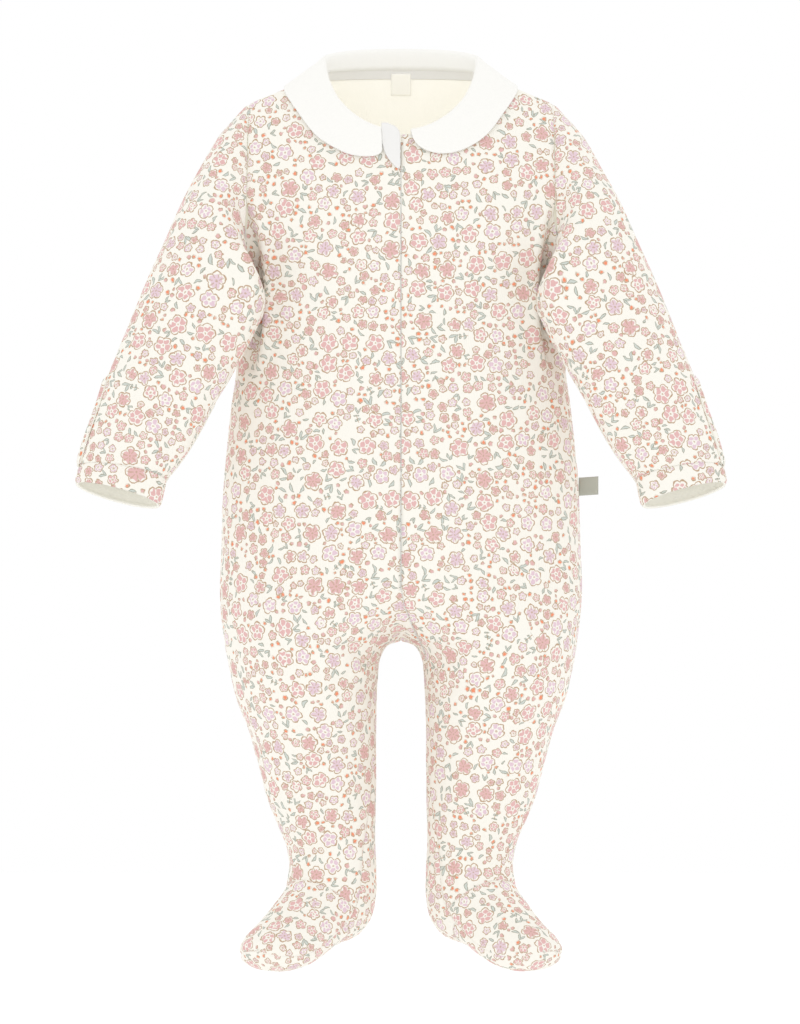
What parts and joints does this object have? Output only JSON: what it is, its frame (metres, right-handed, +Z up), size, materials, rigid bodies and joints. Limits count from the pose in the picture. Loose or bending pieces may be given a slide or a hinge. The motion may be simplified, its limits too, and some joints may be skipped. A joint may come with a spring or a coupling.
{
  "type": "footed baby sleepsuit",
  "caption": "Hollow long-sleeved baby sleepsuit with closed feet, rounded flat collar, front zip line, mitten cuffs and a small floral print.",
  "frame": {"origin": "middle between the shoulders at the height of the neck, inside the hollow garment, where the wearer holds it up", "axes": "+Z up, -Y to the front of the wearer, +X to the wearer's left"},
  "size_m": [0.3928, 0.1273, 0.5561],
  "materials": {
    "print": "soft matt cotton jersey, cream with a small scattered flower print",
    "plain": "plain off-white cotton",
    "grey": "plain pale grey cotton",
    "tape": "woven grey zip tape",
    "label": "woven grey-green label, left bare"
  },
  "bodies": {
    "root": {"front_left": "print", "front_right": "print", "back": "print", "sleeve_left": "print", "sleeve_right": "print", "cuff_left": "print", "cuff_right": "print", "mitten_left": "print", "mitten_right": "print", "foot_upper_left": "print", "foot_upper_right": "print", "sole_left": "print", "sole_right": "print", "collar": "plain", "zip_guard": "grey", "zip_tape": "tape", "neck_tape": "grey", "neck_label": "plain", "side_label": "label"}
  },
  "joints": []
}
